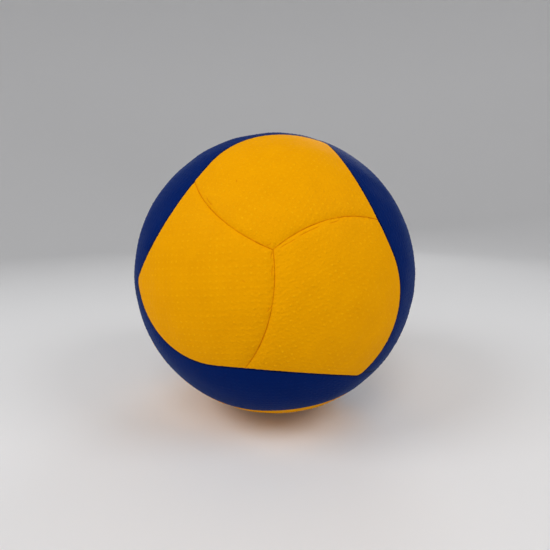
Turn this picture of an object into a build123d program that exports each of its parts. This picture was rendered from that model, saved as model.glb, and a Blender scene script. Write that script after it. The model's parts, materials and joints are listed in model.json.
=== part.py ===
from build123d import *
import math
import os

# Volleyball: an inflated bladder, a wound layer and a rubber carcass, covered by foam-backed panels.
# Four groups of three lobes face the corners of a tetrahedron, with a curved strip between each two groups.
# Lengths are in millimetres, angles in degrees. The origin is the ball's centre, +Z is up, the front is -Y.

# Ball and its layers, from the outside in
ball_radius = 105.0
skin_thickness = 1.3
foam_thickness = 2.2
carcass_thickness = 0.7
winding_thickness = 0.6
bladder_thickness = 0.8
glue_line = 0.05

# Panel edges
seam_clearance = 0.2
foam_inset = 0.5
skin_edge_bevel = 0.6
bevel_limit_share = 0.7
tip_round_share = 1 / 21

# Attitude: how high the front group looks, and how far it is turned about its own axis
front_elevation = 16.0
front_turn_angle = 14.7

# Outline of a group, as circles drawn on the ball. A pole's angle is counted from the group's centre, and its
# turn from the direction of the neighbouring group. A circle's angle is its radius as seen from the centre.
flat_pole_angle = 84.2
flat_pole_turn_angle = 11.0
flat_circle_angle = 46.5
lobe_circle_angle = 36.3
bend_turn_angle = 22.0
swirl_circle_angle = 43.4
swirl_pole_turn_angle = -67.0
lobe_middle_angle = 33.0
lobe_middle_turn_angle = 65.0
lobes_per_group = 3

# One seam of the front group was laid a little high: the one between its first and its last lobe
high_seam_turn_angle = 3.4

# Valve, at the middle of the strip behind and above
needle_radius = 1.1
needle_depth = 18.0
lips_thickness = 6.0
core_wall = 1.5
core_head_lip = 0.5
core_head_height = 1.5
core_recess = 0.3
core_tip = 3.0
core_clearance = 0.1
neck_wall = 0.7
neck_recess = 0.5
neck_clearance = 0.2
stem_wall = 2.3
flange_lip = 7.0
flange_thickness = 1.2

# Building aids
cut_overrun = 5.0
edge_tolerance = 0.01
wedge_outer_share = 1.1
wedge_inner_share = 0.4
half_share = 0.5
points_per_arc = 13

quarter_turn_angle = 90.0
half_turn_angle = 180.0
group_turn_angle = 2 * half_turn_angle / lobes_per_group
groups_apart = math.degrees(math.acos(-1 / 3))
centre = Vector(0, 0, 0)

skin_inner_radius = ball_radius - skin_thickness
foam_outer_radius = skin_inner_radius - glue_line
foam_inner_radius = foam_outer_radius - foam_thickness
carcass_outer_radius = foam_inner_radius - glue_line
carcass_inner_radius = carcass_outer_radius - carcass_thickness
winding_outer_radius = carcass_inner_radius - glue_line
winding_inner_radius = winding_outer_radius - winding_thickness
bladder_outer_radius = winding_inner_radius - glue_line
bladder_inner_radius = bladder_outer_radius - bladder_thickness
flange_outer_radius = bladder_inner_radius - glue_line
flange_inner_radius = flange_outer_radius - flange_thickness
tip_round_radius = ball_radius * tip_round_share

core_radius = needle_radius + core_wall
core_head_radius = core_radius + core_head_lip
neck_radius = core_head_radius + core_clearance + neck_wall
stem_radius = core_radius + core_clearance + stem_wall
flange_radius = neck_radius + flange_lip
neck_top = ball_radius - neck_recess
core_top = neck_top - core_recess
core_head_bottom = core_top - core_head_height
core_bottom = core_top - needle_depth - lips_thickness
stem_bottom = core_bottom + core_tip


# Points and circles on the unit sphere
def heading(pole, toward):
    """Direction along the sphere from pole to toward."""
    return (toward - pole * pole.dot(toward)).normalized()


def swing(point, pole, angle):
    return point.rotate(Axis(centre, pole), angle)


def along(pole, toward, angle):
    """Point at an angle from pole, on the way to toward."""
    reach = math.radians(angle)
    return pole * math.cos(reach) + heading(pole, toward) * math.sin(reach)


def place(pole, neighbour, angle, turn):
    return swing(along(pole, neighbour, angle), pole, turn)


def outset(circle, angle):
    return circle[0], circle[1] + angle


def crossing(first, second, near):
    """Crossing of two circles, each a pole and an angle, that lies nearest to a point."""
    first_pole, second_pole = first[0], second[0]
    first_level = math.cos(math.radians(first[1]))
    second_level = math.cos(math.radians(second[1]))
    lean = first_pole.dot(second_pole)
    span = 1 - lean**2
    foot = first_pole * (first_level - second_level * lean)
    foot = (foot + second_pole * (second_level - first_level * lean)) / span
    rise = math.sqrt(max(0, (1 - foot.dot(foot)) / span))
    side = first_pole.cross(second_pole) * rise
    return max(foot + side, foot - side, key=near.dot)


def turn_between(start, end, pole):
    """Signed angle about pole that carries start to end."""
    across = pole.dot(start.cross(end))
    ahead = start.dot(end) - pole.dot(start) * pole.dot(end)
    return math.degrees(math.atan2(across, ahead))


# Outlines of the panels
def group_side(pole, neighbour):
    """Circles of the side of a group that faces one neighbour, and the guide points where they meet."""
    flat_pole = place(pole, neighbour, flat_pole_angle, flat_pole_turn_angle)
    bend = swing(along(flat_pole, pole, flat_circle_angle), flat_pole, bend_turn_angle)
    return {
        "flat": (flat_pole, flat_circle_angle),
        "lobe": (along(flat_pole, bend, flat_circle_angle + lobe_circle_angle), lobe_circle_angle),
        "bend": bend,
        "foot": along(flat_pole, pole, flat_circle_angle),
    }


def swirl(pole, neighbour, shift):
    """Circle of the seam from a group's centre to one of its sides, shifted by a turn about the centre."""
    return place(pole, neighbour, swirl_circle_angle, swirl_pole_turn_angle + shift), swirl_circle_angle


def group_tip(pole, neighbour):
    """Circle that rounds a group's tip, and where it leaves the flat of one side and joins the next side's lobe."""
    near = place(pole, neighbour, groups_apart * half_share, group_turn_angle * half_share)
    flat = group_side(pole, neighbour)["flat"]
    lobe = group_side(pole, swing(neighbour, pole, group_turn_angle))["lobe"]
    round_angle = math.degrees(tip_round_radius / ball_radius)
    round_pole = crossing(outset(flat, round_angle), outset(lobe, -round_angle), near)
    flat_end = along(flat[0], round_pole, flat[1])
    lobe_end = along(lobe[0], round_pole, lobe[1])
    return (round_pole, round_angle), flat_end, lobe_end


def lobe_outline(pole, neighbour, inset, seam_shifts):
    """Sides of a lobe panel, each a circle with the guide point of the corner where the side begins."""
    shrink = math.degrees(inset / ball_radius)
    next_neighbour = swing(neighbour, pole, group_turn_angle)
    side = group_side(pole, neighbour)
    next_side = group_side(pole, next_neighbour)
    seam = swirl(pole, neighbour, seam_shifts[0])
    next_seam = swirl(pole, next_neighbour, seam_shifts[1])
    tip_round, flat_end, lobe_end = group_tip(pole, neighbour)
    return [
        (outset(seam, shrink), pole),
        (outset(side["flat"], shrink), side["foot"]),
        (outset(tip_round, -shrink), flat_end),
        (outset(next_side["lobe"], -shrink), lobe_end),
        (outset(next_side["flat"], shrink), next_side["bend"]),
        (outset(next_seam, -shrink), next_side["foot"]),
    ]


def strip_outline(pole, neighbour, inset):
    """Sides of the strip between two groups: one half, and the same half turned about the strip's middle."""
    shrink = math.degrees(inset / ball_radius)
    middle = along(pole, neighbour, groups_apart * half_share)
    side = group_side(pole, neighbour)
    start = group_tip(pole, swing(neighbour, pole, -group_turn_angle))[2]
    end_round, flat_end, end = group_tip(pole, neighbour)
    meeting = place(pole, neighbour, half_turn_angle - groups_apart, group_turn_angle * half_share)
    far_end = swing(start, middle, half_turn_angle)
    end_seam = (end.cross(meeting).normalized(), quarter_turn_angle)
    far_seam = (meeting.cross(far_end).normalized(), quarter_turn_angle)
    half = [
        (outset(side["lobe"], shrink), start),
        (outset(side["flat"], -shrink), side["bend"]),
        (outset(end_round, shrink), flat_end),
        (outset(end_seam, shrink), end),
        (outset(far_seam, shrink), meeting),
    ]
    other_half = [
        ((swing(circle[0], middle, half_turn_angle), circle[1]), swing(guide, middle, half_turn_angle))
        for circle, guide in half
    ]
    return half + other_half


# Solids
def ball(radius):
    """Sphere whose own seam and poles lie away from the local +Z side."""
    return Sphere(radius, rotation=(quarter_turn_angle, 0, 0))


def shell(outer_radius, inner_radius):
    return ball(outer_radius) - ball(inner_radius)


def wedge(sides, frame):
    """Solid that widens outwards from the ball's centre, with walls through an outline on the sphere."""
    circles = [circle for circle, guide in sides]
    corners = [crossing(circles[i - 1], circles[i], sides[i][1]) for i in range(len(sides))]
    ends = corners[1:] + corners[:1]
    faces = []
    for share in (wedge_inner_share, wedge_outer_share):
        distance = ball_radius * share
        edges = []
        for (pole, _), start, end in zip(circles, corners, ends):
            sweep = turn_between(start, end, pole) / (points_per_arc - 1)
            path = [swing(start, pole, sweep * step) for step in range(points_per_arc - 1)]
            points = []
            for point in path + [end]:
                point = point * (distance / point.dot(frame.z_dir))
                points.append((point.dot(frame.x_dir), point.dot(frame.y_dir), distance))
            edges.append(Spline(*points))
        faces.append(make_face(edges))
    return loft(faces, ruled=True)


def panel(sides, frame, outer_radius, inner_radius):
    return shell(outer_radius, inner_radius) & wedge(sides, frame)


def bevelled_skin(sides, frame):
    skin = panel(sides, frame, ball_radius, skin_inner_radius)
    spots = (0, half_share, 1)
    edges = [
        edge
        for edge in skin.edges()
        if all(abs((edge @ spot).length - ball_radius) < edge_tolerance for spot in spots)
    ]
    return chamfer(edges, min(skin_edge_bevel, skin_thickness * bevel_limit_share))


def rod(radius, bottom, top):
    """Cylinder about the local Z axis between two distances from the ball's centre."""
    return Pos(0, 0, bottom) * Cylinder(radius, top - bottom, align=(Align.CENTER, Align.CENTER, Align.MIN))


def frame_at(middle, toward):
    return Plane(origin=centre, x_dir=heading(middle, toward), z_dir=middle)


def lobe_frame(pole, neighbour):
    return frame_at(place(pole, neighbour, lobe_middle_angle, lobe_middle_turn_angle), pole)


def strip_frame(pole, neighbour):
    return frame_at(along(pole, neighbour, groups_apart * half_share), pole)


# Centres of the four groups
elevation = math.radians(front_elevation)
front = Vector(0, -math.cos(elevation), math.sin(elevation))
groups = {"front": front}
for step, name in enumerate(("right", "left", "bottom")):
    groups[name] = place(front, Vector(1, 0, 0), groups_apart, front_turn_angle + group_turn_angle * step)
pattern_pair = (groups["front"], groups["right"])
pieces = {}


# Lobe panels: one pattern, laid round each group's centre, and two lobes cut to the high seam
def lobe_layers(seam_shifts):
    """Skin and foam of a lobe panel, in the frame of the pattern."""
    skin_sides = lobe_outline(*pattern_pair, seam_clearance * half_share, seam_shifts)
    foam_sides = lobe_outline(*pattern_pair, foam_inset, seam_shifts)
    frame = lobe_frame(*pattern_pair)
    return bevelled_skin(skin_sides, frame), panel(foam_sides, frame, foam_outer_radius, foam_inner_radius)


regular_lobe = lobe_layers((0, 0))
own_lobes = {
    "front_1": lobe_layers((high_seam_turn_angle, 0)),
    "front_3": lobe_layers((0, high_seam_turn_angle)),
}
for name, pole in groups.items():
    first_neighbour = next(other for key, other in groups.items() if key != name)
    for number in range(lobes_per_group):
        spot = lobe_frame(pole, swing(first_neighbour, pole, group_turn_angle * number)).location
        lobe_name = f"{name}_{number + 1}"
        lobe_skin, lobe_foam = own_lobes.get(lobe_name, regular_lobe)
        pieces[f"lobe_skin_{lobe_name}"] = lobe_skin.moved(spot)
        pieces[f"lobe_foam_{lobe_name}"] = lobe_foam.moved(spot)

# Strip panels: one pattern, laid between each pair of groups
pattern_frame = strip_frame(*pattern_pair)
strip_skin = bevelled_skin(strip_outline(*pattern_pair, seam_clearance * half_share), pattern_frame)
strip_foam_sides = strip_outline(*pattern_pair, foam_inset)
strip_foam = panel(strip_foam_sides, pattern_frame, foam_outer_radius, foam_inner_radius)
names = list(groups)
for first, name in enumerate(names):
    for other in names[first + 1 :]:
        spot = strip_frame(groups[name], groups[other]).location
        pieces[f"strip_skin_{name}_{other}"] = strip_skin.moved(spot)
        pieces[f"strip_foam_{name}_{other}"] = strip_foam.moved(spot)

# Closed layers under the panels
valve_spot = strip_frame(groups["right"], groups["left"]).location
pieces["rubber_carcass"] = shell(carcass_outer_radius, carcass_inner_radius).moved(valve_spot)
pieces["nylon_winding"] = shell(winding_outer_radius, winding_inner_radius).moved(valve_spot)
pieces["butyl_bladder"] = shell(bladder_outer_radius, bladder_inner_radius).moved(valve_spot)

# Valve: a moulded housing bonded inside the bladder, and the plug that takes the needle
hole = rod(neck_radius + neck_clearance, stem_bottom, ball_radius + cut_overrun).moved(valve_spot)
pierced_layers = ("rubber_carcass", "nylon_winding", "butyl_bladder")
for name in ("strip_skin_right_left", "strip_foam_right_left", *pierced_layers):
    pieces[name] -= hole

housing = shell(flange_outer_radius, flange_inner_radius) & rod(flange_radius, stem_bottom, ball_radius)
housing += rod(neck_radius, flange_inner_radius, neck_top)
housing += rod(stem_radius, stem_bottom, flange_inner_radius)
housing -= rod(core_radius + core_clearance, stem_bottom - cut_overrun, neck_top)
housing -= rod(core_head_radius + core_clearance, core_head_bottom, neck_top + cut_overrun)
pieces["valve_housing"] = housing.moved(valve_spot)

core = rod(core_radius, core_bottom, core_top) + rod(core_head_radius, core_head_bottom, core_top)
core -= rod(needle_radius, core_top - needle_depth, core_top + cut_overrun)
pieces["valve_core"] = core.moved(valve_spot)

os.makedirs("parts", exist_ok=True)
for name, solid in pieces.items():
    solid.label = name
    export_step(solid, f"parts/{name}.step")
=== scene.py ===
import json
import math

import bmesh
import bpy
import numpy as np
from mathutils import Matrix, Vector
from mathutils.kdtree import KDTree


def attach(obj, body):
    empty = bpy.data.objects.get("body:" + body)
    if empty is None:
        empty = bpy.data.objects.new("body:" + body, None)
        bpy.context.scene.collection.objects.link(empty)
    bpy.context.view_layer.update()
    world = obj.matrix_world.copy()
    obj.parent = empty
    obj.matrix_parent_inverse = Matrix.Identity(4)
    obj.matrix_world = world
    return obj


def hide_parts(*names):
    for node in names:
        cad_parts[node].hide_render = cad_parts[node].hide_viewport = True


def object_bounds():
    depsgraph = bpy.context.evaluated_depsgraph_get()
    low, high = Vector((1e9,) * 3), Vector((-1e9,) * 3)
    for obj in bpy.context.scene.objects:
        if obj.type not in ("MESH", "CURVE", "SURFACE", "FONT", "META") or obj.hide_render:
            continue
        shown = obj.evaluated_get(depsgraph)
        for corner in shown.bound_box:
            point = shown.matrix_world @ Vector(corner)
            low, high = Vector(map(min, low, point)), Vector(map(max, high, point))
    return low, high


# A volleyball: cover panels with rolled edges, pimples and creases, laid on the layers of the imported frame.
# Lengths are in metres and angles in degrees, in the frame's own axes: +Z up, the front towards -Y.
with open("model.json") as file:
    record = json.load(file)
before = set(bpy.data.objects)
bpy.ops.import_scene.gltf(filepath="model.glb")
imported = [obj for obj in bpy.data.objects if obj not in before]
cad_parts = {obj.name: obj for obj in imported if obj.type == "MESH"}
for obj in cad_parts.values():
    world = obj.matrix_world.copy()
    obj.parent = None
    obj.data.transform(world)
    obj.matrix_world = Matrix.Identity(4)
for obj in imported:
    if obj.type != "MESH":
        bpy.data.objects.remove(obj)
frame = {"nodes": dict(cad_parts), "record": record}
cad_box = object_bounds()
random_seed = 7
random = np.random.default_rng(random_seed)

# Units and turns
millimetres = 1000
half_turn = 180.0
quarter_turn = 90.0

# Ball and cover
ball_radius = 0.105
skin_thickness = 0.00134
seam_half_gap = 0.00002

# Attitude of the front group of lobes
front_elevation = 16.0
front_turn = 14.7

# Outline of a group of lobes, as circles drawn on the ball: a pole's angle from the group's centre, its turn
# from the direction of the neighbouring group, and the circle's own angle
flat_pole_angle = 84.2
flat_pole_turn = 11.0
flat_circle_angle = 46.5
lobe_circle_angle = 36.3
bend_turn = 22.0
swirl_circle_angle = 43.4
swirl_pole_turn = -67.0
high_seam_turn = 3.4
lobe_middle_angle = 33.0
lobe_middle_turn = 65.0
tip_round_radius = 0.005

# Four groups, with their centres at the corners of a tetrahedron, and each group's lobes turned about it
lobes_per_group = 3
group_turn = 2 * half_turn / lobes_per_group
groups_apart = math.degrees(math.acos(-1 / 3))

# Relief of a panel
edge_roll = 0.00014
border_pillow_depth = 0.00016
border_pillow_reach = 0.004
seam_pillow_depth = 0.00116
seam_pillow_reach = 0.0026
seam_pillow_fullness = 1.1
seam_pillow_blend = 10
seam_end_share = 0.12
seam_end_reach = 0.005
skin_least_thickness = 0.0003
foam_clearance = 0.00003
foam_blend = 0.00004
grain_height = 0.000045
grain_waves = (0.0012, 0.0024)
grain_count = 16
grain_seam_gain = 0.8
grain_seam_reach = 0.004
pimple_pitch = 0.0038
pimple_radius = 0.00086
lobe_pimple_height = 0.00026
strip_pimple_height = 0.00016
pimple_margin = 0.0022
pimple_bare_share = 0.4
pimple_least_share = 0.6
pimple_spread_share = 0.7
seat_steps = (12.99, 78.23)
seat_gain = 437.5
least_sine = 1e-9
lobe_lattice_turn = -19.4
strip_lattice_turn = 12.0
wave_count = 9
pucker_height = 0.00014
pucker_reach = 0.003
pucker_waves = (0.0028, 0.0065)
swell_height = 0.00018
swell_waves = (0.014, 0.04)
swell_edge_reach = 0.005
crease_depth = 0.0002
crease_width = 0.00024
crease_fade_share = 0.06
crease_wander_share = 0.22
crease_end_share = 0.15
crease_end_slope = 5
crease_steps = 80

# Creases of the panels that the photograph doesn't show: where they begin and how long they are along a seam,
# how far from it they run, and how fast they wander
own_crease_begin_shares = (0.05, 0.7)
own_crease_length_shares = (0.08, 0.25)
own_crease_offsets = (0.0013, 0.002)
own_crease_wanders = (8, 24)

# Hole for the valve
valve_hole_radius = 0.0041
drill_skins = 8
drill_segments = 96

# Mesh of a panel
mesh_step = 0.00042
edge_band = 0.0024
edge_rows = 12
underside_stride = 4
outline_samples = 900
side_samples = 2000

# Camera, from the photograph's perspective, with lens and sensor in millimetres
photo_size = 550
pixel_middle = 0.5
camera_distance_share = 2.78
camera_distance = camera_distance_share * ball_radius
camera_azimuth = 0.52
camera_below_front = 6.72
camera_elevation = front_elevation - camera_below_front
camera_lens = 23.8
camera_sensor = 36.0
camera_clip_start = 0.01
aim_right = 0.0002
aim_up = -0.0014


# Points on the unit sphere, as rows of an array
def unit(points):
    return points / np.linalg.norm(points, axis=-1, keepdims=True)


def polar(angle, turn):
    """Point at an angle from +Z, in a direction counted from +X."""
    a, t = math.radians(angle), math.radians(turn)
    return np.array([math.sin(a) * math.cos(t), math.sin(a) * math.sin(t), math.cos(a)])


def swing(points, pole, degrees):
    """Points turned about a pole."""
    angle = np.radians(np.asarray(degrees, float))[..., None]
    points = np.asarray(points)
    lift = (points @ pole)[..., None] * pole
    return points * np.cos(angle) + np.cross(pole, points) * np.sin(angle) + lift * (1 - np.cos(angle))


def along(pole, toward, degrees):
    """Point at an angle from pole, on the way to toward."""
    heading = unit(toward - pole * (pole @ toward))
    return pole * math.cos(math.radians(degrees)) + heading * math.sin(math.radians(degrees))


def outset(circle, degrees):
    return circle[0], circle[1] + degrees


def crossing(first, second, near):
    """Crossing of two circles, each a pole and an angle, that lies nearest to a point."""
    p, q = first[0], second[0]
    cp, cq = math.cos(math.radians(first[1])), math.cos(math.radians(second[1]))
    lean = p @ q
    span = 1 - lean**2
    foot = (p * (cp - cq * lean) + q * (cq - cp * lean)) / span
    side = np.cross(p, q) * math.sqrt(max(0, (1 - foot @ foot) / span))
    return max(foot + side, foot - side, key=near.dot)


def arc(circle, start, end):
    """Points along a circle from start to end, the short way."""
    pole = circle[0]
    across = pole @ np.cross(start, end)
    ahead = start @ end - (pole @ start) * (pole @ end)
    sweep = math.degrees(math.atan2(across, ahead))
    return swing(np.broadcast_to(start, (outline_samples, 3)), pole, np.linspace(0, sweep, outline_samples))


def length_along(line):
    """Length from the first point of a line to each of its points, on the ball."""
    steps = np.linalg.norm(np.diff(line, axis=0), axis=1) * ball_radius
    return np.concatenate([[0], np.cumsum(steps)])


def resample(line, shares):
    reach = length_along(line)
    return unit(np.stack([np.interp(shares * reach[-1], reach, line[:, k]) for k in range(3)], axis=1))


# Camera
azimuth, elevation = math.radians(camera_azimuth), math.radians(camera_elevation)
camera_right = Vector((math.cos(azimuth), math.sin(azimuth), 0))
camera_level = Vector((math.sin(azimuth), -math.cos(azimuth), 0))
camera_back = camera_level * math.cos(elevation) + Vector((0, 0, math.sin(elevation)))
aim = camera_right * aim_right + camera_back.cross(camera_right) * aim_up
lens = bpy.data.cameras.new("camera")
lens.lens = camera_lens
lens.sensor_width = camera_sensor
lens.clip_start = camera_clip_start
camera = bpy.data.objects.new("camera", lens)
camera.location = camera_back * camera_distance
camera.rotation_euler = (aim - camera.location).to_track_quat("-Z", "Y").to_euler()
bpy.context.collection.objects.link(camera)
bpy.context.scene.camera = camera


def on_ball(pixels):
    """Points of the unit sphere that the camera sees at pixels of the photograph."""
    axes = np.array(camera.rotation_euler.to_matrix()).T
    focal = camera_lens / camera_sensor * photo_size
    across, down = (np.array(pixels, float) + pixel_middle - photo_size / 2).T / focal
    ray = unit(across[:, None] * axes[0] - down[:, None] * axes[1] - axes[2])
    eye = np.array(camera.location) / ball_radius
    ahead = -ray @ eye
    return unit(eye + (ahead - np.sqrt(ahead**2 - eye @ eye + 1))[:, None] * ray)


# Outlines of the two kinds of panel, with the group's centre at +Z and the neighbouring group towards +X
group_pole = np.array([0.0, 0.0, 1.0])


def group_side(turn):
    """Circles and guide points of the side of a group that faces the neighbour at a turn."""
    flat_pole = polar(flat_pole_angle, flat_pole_turn + turn)
    foot = along(flat_pole, group_pole, flat_circle_angle)
    bend = swing(foot, flat_pole, bend_turn)
    return {
        "flat": (flat_pole, flat_circle_angle),
        "lobe": (along(flat_pole, bend, flat_circle_angle + lobe_circle_angle), lobe_circle_angle),
        "bend": bend,
        "foot": foot,
    }


def swirl(turn):
    """Circle of the seam that runs from the group's centre to the side at a turn."""
    return polar(swirl_circle_angle, swirl_pole_turn + turn), swirl_circle_angle


def closed_corners(sides):
    """Corner where each side, a circle and a guide point, meets the side before it."""
    return [crossing(sides[i - 1][0], sides[i][0], sides[i][1]) for i in range(len(sides))]


def group_tip(turn):
    """Circle that rounds a group's tip, and where it meets the flat of one side and the next side's lobe."""
    near = polar(groups_apart / 2, turn + group_turn / 2)
    flat, lobe = group_side(turn)["flat"], group_side(turn + group_turn)["lobe"]
    angle = math.degrees(tip_round_radius / ball_radius)
    pole = crossing(outset(flat, angle), outset(lobe, -angle), near)
    return (pole, angle), along(flat[0], pole, flat[1]), along(lobe[0], pole, lobe[1])


def lobe_outline(low_shift, start_shift):
    """Four sides of a lobe panel: low, end, high, start. Low and start are seams from the group's centre."""
    shrink = math.degrees(seam_half_gap / ball_radius)
    here, ahead = group_side(0), group_side(group_turn)
    tip_round, flat_end, lobe_end = group_tip(0)
    sides = [
        (outset(swirl(low_shift), shrink), group_pole),
        (outset(here["flat"], shrink), here["foot"]),
        (outset(tip_round, -shrink), flat_end),
        (outset(ahead["lobe"], -shrink), lobe_end),
        (outset(ahead["flat"], shrink), ahead["bend"]),
        (outset(swirl(group_turn + start_shift), -shrink), ahead["foot"]),
    ]
    centre, low_end, flat_end, lobe_end, bend, high_end = closed_corners(sides)
    low = arc(sides[0][0], centre, low_end)
    tip = arc(sides[2][0], flat_end, lobe_end)
    half = len(tip) // 2
    end = np.concatenate([arc(sides[1][0], low_end, flat_end), tip[1 : half + 1]])
    high_sides = arc(sides[4][0], high_end, bend), arc(sides[3][0], bend, lobe_end)[1:]
    high = np.concatenate([*high_sides, tip[half:-1][::-1]])
    start = arc(sides[5][0], centre, high_end)
    return low, end, high, start


def strip_outline():
    """Four sides of a strip panel. The far side and end are the near ones turned about the strip's middle."""
    shrink = math.degrees(seam_half_gap / ball_radius)
    middle = polar(groups_apart / 2, 0)
    here = group_side(0)
    first = group_tip(-group_turn)[2]
    tip_round, flat_end, last = group_tip(0)
    meeting = polar(half_turn - groups_apart, group_turn / 2)
    far = swing(first, middle, half_turn)
    half = [
        (outset(here["lobe"], shrink), first),
        (outset(here["flat"], -shrink), here["bend"]),
        (outset(tip_round, shrink), flat_end),
        ((unit(np.cross(last, meeting)), quarter_turn + shrink), last),
        ((unit(np.cross(meeting, far)), quarter_turn + shrink), meeting),
    ]
    sides = list(half)
    for circle, guide in half:
        sides.append(((swing(circle[0], middle, half_turn), circle[1]), swing(guide, middle, half_turn)))
    corners = closed_corners(sides)
    arcs = [arc(sides[i][0], corners[i], corners[(i + 1) % len(sides)]) for i in range(len(half))]
    low = np.concatenate([arcs[0], arcs[1][1:], arcs[2][1:]])
    end = np.concatenate([arcs[3], arcs[4][1:]])
    return low, end, swing(low, middle, half_turn)[::-1], swing(end, middle, half_turn)[::-1]


# Pattern of a panel: a grid of points between its four sides, and what the relief needs at each point
def graded(length):
    """Shares of a length, close together near both ends and even between them."""
    stride = underside_stride
    edge = np.linspace(0, edge_band, edge_rows + 1)
    count = stride * max(1, round((length - 2 * edge_band) / mesh_step / stride))
    inside = np.linspace(edge_band, length - edge_band, count + 1)
    return np.concatenate([edge[:-1], inside, (length - edge[::-1])[1:]]) / length


def grid_between(low, end, high, start):
    u = graded((length_along(low)[-1] + length_along(high)[-1]) / 2)
    v = graded((length_along(end)[-1] + length_along(start)[-1]) / 2)
    a, c = resample(low, u)[:, None], resample(high, u)[:, None]
    d, b = resample(start, v)[None], resample(end, v)[None]
    u, v = u[:, None, None], v[None, :, None]
    corners = (1 - u) * ((1 - v) * a[:1] + v * c[:1]) + u * ((1 - v) * a[-1:] + v * c[-1:])
    return unit((1 - v) * a + v * c + (1 - u) * d + u * b - corners)


def nearest(points, line):
    """Distance on the ball from each point to a line, and the share of the line's length nearest to it."""
    tree = KDTree(len(line))
    for i, point in enumerate(line):
        tree.insert(point, i)
    tree.balance()
    found = [tree.find(p)[1:] for p in points.reshape(-1, 3)]
    index = np.array([f[0] for f in found]).reshape(points.shape[:-1])
    distance = np.array([f[1] for f in found]).reshape(points.shape[:-1]) * ball_radius
    reach = length_along(line)
    return distance, (reach / reach[-1])[index]


def lattice(points, middle, turn):
    """Height of the pimples, 0 to 1, on a square lattice laid over the panel from its middle."""
    east = unit(np.cross(group_pole, middle))
    north = np.cross(middle, east)
    angle = np.arccos(np.clip(points @ middle, -1, 1))
    scale = ball_radius * angle / np.maximum(np.sin(angle), least_sine) / pimple_pitch
    x, y = points @ east * scale, points @ north * scale
    c, s = math.cos(math.radians(turn)), math.sin(math.radians(turn))
    across, up = x * c + y * s, y * c - x * s
    off = np.hypot(across - np.round(across), up - np.round(up)) * pimple_pitch / pimple_radius
    seat = np.sin(np.round(across) * seat_steps[0] + np.round(up) * seat_steps[1]) * seat_gain
    size = pimple_least_share + pimple_spread_share * (seat - np.floor(seat))
    return np.clip(1 - off**2, 0, 1) ** 2 * size


def pattern(outline, middle, lattice_turn, seam_sides, pimple_height):
    """Grid of a panel with its facts: distances to its edge, its border and its seams, and its pimples."""
    points = grid_between(*outline)
    shares = np.linspace(0, 1, side_samples)
    sides = [nearest(points, resample(line, shares)) for line in outline]
    seams = [sides[k] for k in seam_sides]
    border = np.minimum.reduce([side[0] for k, side in enumerate(sides) if k not in seam_sides])
    seam = np.minimum.reduce([side[0] for side in seams], initial=np.inf)
    edge = np.minimum.reduce([side[0] for side in sides])
    pimples = lattice(points, middle, lattice_turn) * np.clip(edge / pimple_margin - pimple_bare_share, 0, 1)
    return {
        "points": points,
        "edge": edge,
        "border": border,
        "seam": seam,
        "seams": seams,
        "pimple": pimples,
        "pimple_height": pimple_height,
    }


# Relief
def waves(points, lengths, count=wave_count):
    """Smooth unevenness between about -1 and 1, as a sum of plane waves with seeded directions."""
    total = np.zeros(points.shape[:-1])
    for _ in range(count):
        direction = unit(random.normal(size=3))
        size = random.uniform(*lengths)
        phase = random.uniform(0, 2 * math.pi)
        total += np.sin(points @ direction * ball_radius * 2 * math.pi / size + phase)
    return total / math.sqrt(count)


def ramp(values, low, high):
    t = np.clip((values - low) / (high - low), 0, 1)
    return t * t * (3 - 2 * t)


def seam_crease(seam, start, end, offset, wander):
    """Depth, 0 to 1, of a fine crease that runs beside a seam between two shares of the seam's length."""
    distance, share = seam
    fade = crease_fade_share
    window = ramp(share, start - fade, start + fade) * (1 - ramp(share, end - fade, end + fade))
    line = offset * (1 + crease_wander_share * np.sin(share * wander + wander))
    return window * np.exp(-(((distance - line) / crease_width) ** 2))


def seen_crease(points, pixels):
    """Depth, 0 to 1, of a crease through pixels of the photograph, fading out towards its two ends."""
    shares = np.linspace(0, 1, crease_steps)
    line = resample(on_ball(pixels), shares)
    depth = np.zeros(points.shape[:-1])
    for point, share in zip(line, shares):
        off = np.linalg.norm(points - point, axis=-1) * ball_radius / crease_width
        fade = min(1, crease_end_slope * min(share, 1 - share) + crease_end_share)
        depth = np.maximum(depth, np.exp(-(off**2)) * fade)
    return depth


def edge_roll_drop(distance):
    inside = np.clip(edge_roll - distance, 0, edge_roll)
    return edge_roll - np.sqrt(np.maximum(edge_roll**2 - inside**2, 0))


def pillow_drop(shape):
    """How far the surface falls softly below the ball towards a panel's border and its seams."""
    drop = border_pillow_depth * np.exp(-shape["border"] / border_pillow_reach)
    pillows = np.zeros(drop.shape)
    for distance, _ in shape["seams"]:
        pillows += np.exp(-((distance / seam_pillow_reach) ** seam_pillow_fullness)) ** seam_pillow_blend
    shallow = 1 - (1 - seam_end_share) * np.exp(-shape["border"] / seam_end_reach)
    return drop + seam_pillow_depth * shallow * pillows ** (1 / seam_pillow_blend)


def above_foam(height):
    """Heights held softly above the foam, with room left for the rolled edge."""
    lowest = edge_roll + foam_clearance - skin_thickness
    return lowest + foam_blend * np.logaddexp(0, (height - lowest) / foam_blend)


# Panels as closed meshes
def basis(pole, neighbour):
    x = unit(neighbour - pole * (pole @ neighbour))
    return np.stack([x, np.cross(pole, x), pole])


def ring(rows, columns, stride=1):
    """Grid indices round the border, in order, from the first corner back to it."""
    i, j = np.arange(0, rows, stride), np.arange(0, columns, stride)
    there = [(k, 0) for k in i] + [(rows - 1, k) for k in j[1:]]
    back = [(k, columns - 1) for k in i[::-1][1:]] + [(0, k) for k in j[::-1][1:]]
    return np.array(there + back)


def quads(rows, columns):
    i, j = np.meshgrid(np.arange(rows - 1), np.arange(columns - 1), indexing="ij")
    a = (i * columns + j).ravel()
    return np.stack([a, a + columns, a + columns + 1, a + 1], axis=1)


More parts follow.
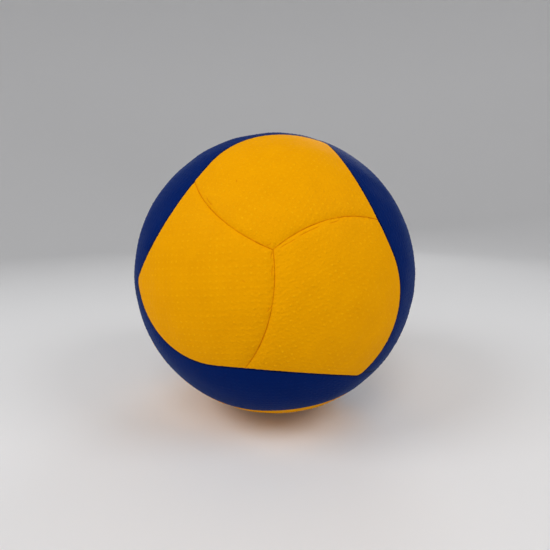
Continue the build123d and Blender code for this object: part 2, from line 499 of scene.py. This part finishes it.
def panel_mesh(name, points, height, facts):
    """Closed mesh: the relief on top, a coarser underside, and walls between their borders."""
    rows, columns = points.shape[:2]
    stride = underside_stride
    top = points * (ball_radius + height)[..., None]
    depth = np.maximum(skin_thickness, skin_least_thickness - height[::stride, ::stride])
    under = points[::stride, ::stride] * (ball_radius - depth)[..., None]
    faces = quads(rows, columns).tolist()
    shift = rows * columns
    faces += (quads(*under.shape[:2])[:, ::-1] + shift).tolist()
    upper = ring(rows, columns) @ (columns, 1)
    lower = (ring(rows, columns, stride) // stride) @ (under.shape[1], 1) + shift
    for k in range(len(lower) - 1):
        above = upper[k * stride : (k + 1) * stride + 1]
        faces.append([*above[::-1].tolist(), int(lower[k]), int(lower[k + 1])])
    mesh = bpy.data.meshes.new(name)
    places = np.concatenate([top.reshape(-1, 3), under.reshape(-1, 3)])
    mesh.from_pydata(places.tolist(), [], faces)
    for key, values in facts.items():
        layer = mesh.attributes.new(key, "FLOAT", "POINT")
        layer.data.foreach_set("value", np.concatenate([values.ravel(), np.zeros(len(places) - shift)]))
    mesh.polygons.foreach_set("use_smooth", np.ones(len(mesh.polygons), bool))
    mesh.update()
    return mesh


def make_panel(node, shape, pole, neighbour, material, creases, pixels=(), hole=None):
    """One cover panel in its place: the shared pattern, with unevenness and creases of its own."""
    points = shape["points"] @ basis(pole, neighbour)
    edge = shape["edge"]
    creased = np.zeros(edge.shape)
    for side, *values in creases:
        creased = np.maximum(creased, seam_crease(shape["seams"][side], *values))
    for line in pixels:
        creased = np.maximum(creased, seen_crease(points, line))
    seam = shape["seam"]
    pucker = waves(points, pucker_waves) * np.exp(-seam / pucker_reach) * pucker_height
    swell = waves(points, swell_waves) * (1 - np.exp(-edge / swell_edge_reach)) * swell_height
    rough = 1 + grain_seam_gain * np.exp(-seam / grain_seam_reach)
    grain = waves(points, grain_waves, grain_count) * rough * grain_height
    relief = shape["pimple"] * shape["pimple_height"] + pucker + swell + grain - creased * crease_depth
    height = above_foam(relief - pillow_drop(shape)) - edge_roll_drop(edge)
    lined = seam if shape["seams"] else edge
    if hole is not None:
        rim = np.arccos(np.clip(points @ hole, -1, 1)) * ball_radius - valve_hole_radius
        height -= edge_roll_drop(np.maximum(rim, 0))
        lined = np.minimum(lined, np.abs(rim))
    facts = {
        "lined_mm": lined * millimetres,
        "pimple": shape["pimple"],
        "crease": creased,
        "tone": np.full(edge.shape, random.uniform(-1, 1)),
    }
    mesh = panel_mesh(node.replace("skin", "cover"), points, height, facts)
    mesh.materials.append(material)
    piece = bpy.data.objects.new(mesh.name, mesh)
    bpy.context.collection.objects.link(piece)
    if hole is not None:
        pierce(piece, Vector(hole))
    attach(piece, "root")
    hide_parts(node)


def pierce(piece, axis):
    """Cut the round hole for the valve's neck through a panel."""
    depth = drill_skins * skin_thickness
    turned = axis.to_track_quat("Z", "Y").to_matrix().to_4x4()
    place = Matrix.Translation(axis * ball_radius) @ turned
    form = bmesh.new()
    size = {"radius1": valve_hole_radius, "radius2": valve_hole_radius, "depth": depth}
    bmesh.ops.create_cone(form, cap_ends=True, matrix=place, segments=drill_segments, **size)
    mesh = bpy.data.meshes.new("drill")
    form.to_mesh(mesh)
    form.free()
    drill = bpy.data.objects.new("drill", mesh)
    bpy.context.collection.objects.link(drill)
    cut = piece.modifiers.new("hole", "BOOLEAN")
    cut.operation = "DIFFERENCE"
    cut.solver = "EXACT"
    cut.object = drill
    evaluated = piece.evaluated_get(bpy.context.evaluated_depsgraph_get())
    old = piece.data
    name = old.name
    new = bpy.data.meshes.new_from_object(evaluated)
    piece.modifiers.clear()
    piece.data = new
    bpy.data.meshes.remove(old)
    new.name = name
    bpy.data.objects.remove(drill)
    bpy.data.meshes.remove(mesh)


# Materials: sockets of a colour mix node, and values that all noises share
mix_sockets = (0, 6, 7)
mix_result = 2
noise_roughness = 0.55
fine_detail = 2.0

# Leather: scales of its patterns per metre, the range that each is read over and the shares that it gives
mottle_scale = 75.0
mottle_detail = 4.0
mottle_range = (0.3, 0.7)
mottle_shares = (0.1, 0.45)
tone_range = (-1.0, 1.0)
tone_shares = (-0.08, 0.08)
fleck_scale = 1900.0
fleck_range = (0.4, 0.75)
fleck_shares = (0.0, 0.25)
pore_scale = 1300.0
pore_range = (0.0, 0.7)
pore_shares = (0.0, 0.8)
# Patch noise: it varies the dirt and painted shade along seams and edges, and the paler pimples
patch_scale = 70.0
dirt_and_shade_range = (0.3, 0.7)
# Pimples painted paler, partly as wear and partly as painted highlight
wear_and_highlight_range = (0.35, 0.65)
wear_and_highlight_shares = (0.12, 0.62)
# Creases painted towards the seam colour: painted shade in the crease
crease_shade_range = (0.1, 1.0)
crease_shade_shares = (0.0, 0.65)
leather_rough_range = (0.25, 0.75)
leather_smoother = 0.06
leather_rougher = 0.08
leather_bump_strength = 0.35
leather_bump_depth = 0.00006
leather_sheen_roughness = 0.3

# Rubber: its bloom in patches and its tooth
bloom_detail = 5.0
bloom_range = (0.42, 0.72)
tooth_scale_share = 14
tooth_range = (0.2, 0.8)
tooth_roughness = 0.1
rubber_bump_strength = 0.4

# Sponge and thread
cell_scale = 900.0
cell_range = (0.1, 0.6)
cell_bump_strength = 0.6
cell_bump_depth = 0.0004
sponge_roughness = 0.85
thread_turns = (0.0, 1.1, 2.2)
thread_lean_share = 0.6
thread_scale = 260.0
thread_distortion = 1.2
thread_detail = 1.0
thread_bump_strength = 0.7
thread_bump_depth = 0.0003
thread_roughness = 0.6


def feed(tree, socket, value):
    """Link a socket to another one, or set it to a plain value."""
    if isinstance(value, bpy.types.NodeSocket):
        tree.links.new(value, socket)
    else:
        socket.default_value = value


def node(tree, kind, inputs=None, **settings):
    """New shader node with its settings, and its inputs by name."""
    made = tree.nodes.new(kind)
    for key, value in settings.items():
        setattr(made, key, value)
    for key, value in (inputs or {}).items():
        feed(tree, made.inputs[key], value)
    return made


def new_material(name):
    material = bpy.data.materials.new(name)
    material.use_nodes = True
    tree = material.node_tree
    return material, tree, tree.nodes["Principled BSDF"]


def linear(red, green, blue):
    """Colour for a shader socket from 8-bit screen values."""
    part = [c / 255 for c in (red, green, blue)]
    return tuple(c / 12.92 if c <= 0.04045 else ((c + 0.055) / 1.055) ** 2.4 for c in part) + (1.0,)


def mix(tree, factor, first, second):
    made = node(tree, "ShaderNodeMix", data_type="RGBA")
    for index, value in zip(mix_sockets, (factor, first, second)):
        feed(tree, made.inputs[index], value)
    return made.outputs[mix_result]


def scaled(tree, value, low, high, to_low=0.0, to_high=1.0):
    sockets = {"Value": value, "From Min": low, "From Max": high, "To Min": to_low, "To Max": to_high}
    return node(tree, "ShaderNodeMapRange", sockets).outputs["Result"]


def math_node(tree, operation, first, second):
    made = node(tree, "ShaderNodeMath", operation=operation)
    for socket, value in zip(made.inputs, (first, second)):
        feed(tree, socket, value)
    return made.outputs[0]


def noise(tree, where, scale, detail):
    inputs = {"Vector": where, "Scale": scale, "Detail": detail, "Roughness": noise_roughness}
    return node(tree, "ShaderNodeTexNoise", inputs).outputs["Fac"]


def attribute(tree, name):
    return node(tree, "ShaderNodeAttribute", attribute_name=name).outputs["Fac"]


def add_bump(tree, shader, height, strength, depth):
    bump = node(tree, "ShaderNodeBump", {"Height": height, "Strength": strength, "Distance": depth})
    tree.links.new(bump.outputs["Normal"], shader.inputs["Normal"])


def cover_leather(
    name, base, deep, pale, seam, dirt_and_shade_reach, dirt_and_shade_shares, sheen_tint, sheen_weight, specular, roughness
):
    """Matt pimpled synthetic leather: soft mottling, pimples paler from wear and painted highlight, darker
    grain, painted shade in creases, and dirt and painted shade along seams and edges.
    """
    material, tree, shader = new_material(name)
    where = node(tree, "ShaderNodeTexCoord").outputs["Object"]
    mottle = noise(tree, where, mottle_scale, mottle_detail)
    patch_noise = noise(tree, where, patch_scale, fine_detail)
    flecks = noise(tree, where, fleck_scale, fine_detail)
    pores = node(tree, "ShaderNodeTexVoronoi", {"Vector": where, "Scale": pore_scale}).outputs["Distance"]
    tone = scaled(tree, attribute(tree, "tone"), *tone_range, *tone_shares)
    cloud = math_node(tree, "ADD", scaled(tree, mottle, *mottle_range, *mottle_shares), tone)
    colour = mix(tree, cloud, base, deep)
    colour = mix(tree, scaled(tree, flecks, *fleck_range, *fleck_shares), colour, deep)
    # Pimples painted paler: partly wear, partly painted highlight
    patches = scaled(tree, patch_noise, *wear_and_highlight_range, *wear_and_highlight_shares)
    wear_and_highlight = math_node(tree, "MULTIPLY", attribute(tree, "pimple"), patches)
    colour = mix(tree, wear_and_highlight, colour, pale)
    # Creases darkened towards the seam colour: painted shade
    creased = scaled(tree, attribute(tree, "crease"), *crease_shade_range, *crease_shade_shares)
    colour = mix(tree, creased, colour, seam)
    # Darker line along seams, edges and the valve hole: partly dirt, partly painted shade of the gap between
    # panels
    close = scaled(tree, attribute(tree, "lined_mm"), *dirt_and_shade_reach, 1.0, 0.0)
    dirt_and_shade = math_node(tree, "MULTIPLY", close, scaled(tree, patch_noise, *dirt_and_shade_range, *dirt_and_shade_shares))
    colour = mix(tree, dirt_and_shade, colour, seam)
    tree.links.new(colour, shader.inputs["Base Color"])
    rough_ends = roughness - leather_smoother, roughness + leather_rougher
    tree.links.new(scaled(tree, flecks, *leather_rough_range, *rough_ends), shader.inputs["Roughness"])
    relief = math_node(tree, "ADD", flecks, scaled(tree, pores, *pore_range, *pore_shares))
    add_bump(tree, shader, relief, leather_bump_strength, leather_bump_depth)
    shader.inputs["Sheen Weight"].default_value = sheen_weight
    shader.inputs["Sheen Roughness"].default_value = leather_sheen_roughness
    shader.inputs["Sheen Tint"].default_value = sheen_tint
    shader.inputs["Specular IOR Level"].default_value = specular
    return material


def rubber(name, base, worn, scale, roughness, depth):
    """Moulded rubber with bloom in patches and a fine matt tooth."""
    material, tree, shader = new_material(name)
    where = node(tree, "ShaderNodeTexCoord").outputs["Object"]
    bloom = noise(tree, where, scale, bloom_detail)
    tooth = noise(tree, where, scale * tooth_scale_share, fine_detail)
    colour = mix(tree, scaled(tree, bloom, *bloom_range), base, worn)
    tree.links.new(colour, shader.inputs["Base Color"])
    rough_ends = roughness - tooth_roughness, roughness + tooth_roughness
    tree.links.new(scaled(tree, tooth, *tooth_range, *rough_ends), shader.inputs["Roughness"])
    add_bump(tree, shader, tooth, rubber_bump_strength, depth)
    return material


def sponge():
    """Closed-cell sponge: round cells with painted shade in their hollows."""
    material, tree, shader = new_material("sponge_backing")
    where = node(tree, "ShaderNodeTexCoord").outputs["Object"]
    cells = node(tree, "ShaderNodeTexVoronoi", {"Vector": where, "Scale": cell_scale}).outputs["Distance"]
    # Painted shade: the hollows of the cells are darker than their walls
    hollow_shade, wall = linear(176, 170, 156), linear(226, 222, 210)
    colour = mix(tree, scaled(tree, cells, *cell_range), hollow_shade, wall)
    tree.links.new(colour, shader.inputs["Base Color"])
    add_bump(tree, shader, cells, cell_bump_strength, cell_bump_depth)
    shader.inputs["Roughness"].default_value = sponge_roughness
    return material


def wound_thread():
    """Thread wound over the bladder in crossing bands."""
    material, tree, shader = new_material("wound_thread")
    where = node(tree, "ShaderNodeTexCoord").outputs["Object"]
    height = None
    for turn in thread_turns:
        rotation = (turn, turn * thread_lean_share, turn)
        turned = node(tree, "ShaderNodeMapping", {"Vector": where, "Rotation": rotation}).outputs["Vector"]
        bands = {"Scale": thread_scale, "Distortion": thread_distortion, "Detail": thread_detail}
        lay = node(tree, "ShaderNodeTexWave", {"Vector": turned, **bands}).outputs["Fac"]
        height = lay if height is None else math_node(tree, "MAXIMUM", height, lay)
    shade, light = linear(150, 148, 138), linear(222, 220, 210)
    tree.links.new(mix(tree, height, shade, light), shader.inputs["Base Color"])
    add_bump(tree, shader, height, thread_bump_strength, thread_bump_depth)
    shader.inputs["Roughness"].default_value = thread_roughness
    return material


lobe_leather = cover_leather(
    "lobe_leather",
    base=linear(236, 162, 0),
    deep=linear(222, 147, 0),
    # pale: colour of worn pimples with painted highlight
    pale=linear(246, 181, 12),
    # seam: dirt with painted shade, for the seams and the creases
    seam=linear(206, 108, 0),
    dirt_and_shade_reach=(0.1, 0.45),
    dirt_and_shade_shares=(0.1, 0.8),
    sheen_tint=(1.0, 0.75, 0.3, 1.0),
    sheen_weight=0.0,
    specular=0.015,
    roughness=0.55,
)
strip_leather = cover_leather(
    "strip_leather",
    base=linear(3, 31, 95),
    deep=linear(2, 26, 84),
    # pale: colour of worn pimples with painted highlight
    pale=linear(8, 40, 109),
    # seam: painted shade of the gap along the strip's edges and round the valve hole
    seam=linear(1, 8, 34),
    dirt_and_shade_reach=(0.5, 1.5),
    dirt_and_shade_shares=(0.5, 1.0),
    sheen_tint=(0.42, 0.64, 1.0, 1.0),
    sheen_weight=0.11,
    specular=0.008,
    roughness=0.5,
)

# Rubbers: fresh and worn colours, scale of the bloom per metre, roughness, and depth of the tooth
rubbers = {
    "carcass_rubber": (linear(34, 34, 34), linear(58, 57, 55), 90.0, 0.7, 0.0002),
    "bladder_rubber": (linear(28, 28, 30), linear(46, 46, 48), 60.0, 0.55, 0.0001),
    "valve_rubber": (linear(24, 24, 26), linear(48, 47, 46), 240.0, 0.6, 0.00006),
}
finishes = {name: rubber(name, *values) for name, values in rubbers.items()}
finishes["foam"] = sponge()
finishes["winding_nylon"] = wound_thread()

# Layers and valve keep the frame's shapes
slots = {part["node"]: part["material_slot"] for part in frame["record"]["subparts"]}
for name, piece in frame["nodes"].items():
    if slots[name] in finishes:
        piece.data.materials.clear()
        piece.data.materials.append(finishes[slots[name]])

# Centres of the four groups
front = np.array([0.0, -math.cos(math.radians(front_elevation)), math.sin(math.radians(front_elevation))])
groups = {"front": front}
for step, name in enumerate(("right", "left", "bottom")):
    toward = along(front, np.array([1.0, 0.0, 0.0]), groups_apart)
    groups[name] = swing(toward, front, front_turn + group_turn * step)

# Creases and nicks that show on the front panels, as pixels of the photograph
crease_pixels = {
    "lobe_skin_front_1": [
        [(205.4, 196), (207.4, 200), (209.7, 202.8), (212, 205.1)],
        [(266, 244.9), (268.5, 243.8), (271, 242.4)],
        [(235.7, 178.6), (236, 181.6)],
    ],
    "lobe_skin_front_2": [
        [(272, 250.8), (270.9, 254.5), (270.1, 258.5)],
        [(272.6, 263.5), (271.7, 268), (271.3, 272), (271.6, 277)],
        [(272.2, 304), (270.6, 307), (268.4, 309.8), (265.8, 312.2)],
        [(241.6, 280.7), (243.2, 280.3), (244.6, 281.6)],
    ],
    "lobe_skin_front_3": [
        [(279, 247.4), (284, 244.2), (290, 241), (295.5, 238.2)],
        [(297, 236), (302, 233.4), (307.2, 230.8), (312, 228.6), (316, 226.8), (321, 224.6)],
        [(329, 222.6), (333, 221.4), (336, 220.5), (339.5, 218.9)],
    ],
}


def own_creases():
    """Creases of a panel that the photograph doesn't show, beside its two seams."""
    made = []
    for side in range(len(lobe_seam_sides)):
        begin = random.uniform(*own_crease_begin_shares)
        length = random.uniform(*own_crease_length_shares)
        offset = random.uniform(*own_crease_offsets)
        wander = random.uniform(*own_crease_wanders)
        made.append((side, begin, begin + length, offset, wander))
    return made


# Cover panels
lobe_middle = polar(lobe_middle_angle, lobe_middle_turn)
lobe_seam_sides = (0, 3)


def lobe_pattern(low_shift, start_shift):
    outline = lobe_outline(low_shift, start_shift)
    return pattern(outline, lobe_middle, lobe_lattice_turn, lobe_seam_sides, lobe_pimple_height)


regular_lobe = lobe_pattern(0, 0)
own_lobes = {
    "lobe_skin_front_1": lobe_pattern(high_seam_turn, 0),
    "lobe_skin_front_3": lobe_pattern(0, high_seam_turn),
}
strip = pattern(strip_outline(), polar(groups_apart / 2, 0), strip_lattice_turn, (), strip_pimple_height)
names = list(groups)
for name in names:
    first_neighbour = next(groups[other] for other in names if other != name)
    for number in range(lobes_per_group):
        skin = f"lobe_skin_{name}_{number + 1}"
        neighbour = swing(first_neighbour, groups[name], group_turn * number)
        shape = own_lobes.get(skin, regular_lobe)
        creases = [] if name == "front" else own_creases()
        seen = crease_pixels.get(skin, [])
        make_panel(skin, shape, groups[name], neighbour, lobe_leather, creases, seen)
for first, name in enumerate(names):
    for other in names[first + 1 :]:
        skin = f"strip_skin_{name}_{other}"
        hole = unit(groups["right"] + groups["left"]) if skin == "strip_skin_right_left" else None
        make_panel(skin, strip, groups[name], groups[other], strip_leather, [], hole=hole)

# Studio: a pale dish that is floor and backdrop in one, and soft lamps above, in front and behind
dish_flat_radius = 1.3
dish_flat_shares = (0.1, 0.3, 0.6, 1.0)
dish_bend_radius = 0.9
dish_bend_steps = 24
dish_top = 2.0
dish_turn_step = 3.0
dish_colour = linear(232, 232, 233)
dish_roughness = 0.8
dish_specular = 0.2
world_strength = 0.3

# Lamps: place, width across and power in watts
lamps = {
    "left_top": ((-0.9, -0.5, 0.9), 0.6, 6.0),
    "right_top": ((0.9, -0.5, 0.9), 0.6, 4.9),
    "front_top": ((-0.1, -0.9, 1.05), 0.6, 3.7),
    "front_fill": ((-0.5, -1.25, 0.32), 0.4, 1.5),
    "back_fill": ((0.4, 1.15, 0.75), 0.6, 2.4),
}


def dish():
    rings = [(dish_flat_radius * share, 0.0) for share in dish_flat_shares]
    for angle in np.radians(np.linspace(0, quarter_turn, dish_bend_steps + 1)[1:]):
        out, up = dish_bend_radius * math.sin(angle), dish_bend_radius * (1 - math.cos(angle))
        rings.append((dish_flat_radius + out, up))
    rings.append((dish_flat_radius + dish_bend_radius, dish_top))
    form = bmesh.new()
    turns = np.radians(np.arange(0, 2 * half_turn, dish_turn_step))
    centre = form.verts.new((0, 0, 0))
    loops = [[form.verts.new((r * math.cos(t), r * math.sin(t), z)) for t in turns] for r, z in rings]
    for k in range(len(turns)):
        form.faces.new((centre, loops[0][k - 1], loops[0][k]))
        for inner, outer in zip(loops, loops[1:]):
            form.faces.new((inner[k - 1], outer[k - 1], outer[k], inner[k]))
    mesh = bpy.data.meshes.new("floor")
    form.to_mesh(mesh)
    form.free()
    mesh.polygons.foreach_set("use_smooth", np.ones(len(mesh.polygons), bool))
    floor = bpy.data.objects.new("floor", mesh)
    floor.location.z = cad_box[0].z
    bpy.context.collection.objects.link(floor)
    material, _, shader = new_material("pale_floor")
    shader.inputs["Base Color"].default_value = dish_colour
    shader.inputs["Roughness"].default_value = dish_roughness
    shader.inputs["Specular IOR Level"].default_value = dish_specular
    mesh.materials.append(material)


def softbox(name, place, size, power):
    light = bpy.data.lights.new(name, "AREA")
    light.shape = "DISK"
    light.size = size
    light.energy = power
    lamp = bpy.data.objects.new(name, light)
    lamp.location = place
    lamp.rotation_euler = (-Vector(place)).to_track_quat("-Z", "Y").to_euler()
    bpy.context.collection.objects.link(lamp)


dish()
for name, values in lamps.items():
    softbox(name, *values)

world = bpy.data.worlds.new("studio")
world.use_nodes = True
world.node_tree.nodes["Background"].inputs["Color"].default_value = (1.0, 1.0, 1.0, 1.0)
world.node_tree.nodes["Background"].inputs["Strength"].default_value = world_strength
bpy.context.scene.world = world
bpy.context.scene.view_settings.view_transform = "Standard"
